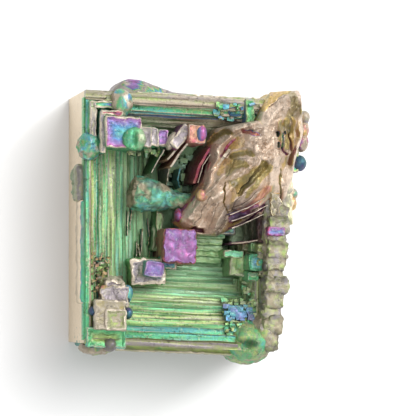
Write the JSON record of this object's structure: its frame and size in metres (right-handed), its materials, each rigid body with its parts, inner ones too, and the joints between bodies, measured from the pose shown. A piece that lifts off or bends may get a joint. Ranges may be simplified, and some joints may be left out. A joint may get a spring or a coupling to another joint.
{
  "type": "bismuth hopper crystal",
  "caption": "Iridescent bismuth hopper crystal: a deep rectangular pit of stepped ledges, block arms up its corners, frozen beads and one torn corner; lies on a flat back.",
  "frame": {"origin": "middle of the bounding box's underside, on the flat back that the crystal lies on", "axes": "+Z out of the hopper pit, +Y along the pit's long side towards the end with the torn corner, +X towards the side with the scalloped columns"},
  "size_m": [0.0442, 0.0522, 0.0297],
  "materials": {
    "oxidised_bismuth": "cast bismuth under a thin oxide film: green and teal ledges, gold, magenta, violet and blue blocks, bare tan metal on the torn corner, rims and flat west side"
  },
  "bodies": {
    "root": {"bismuth_crystal": "oxidised_bismuth"}
  },
  "joints": []
}
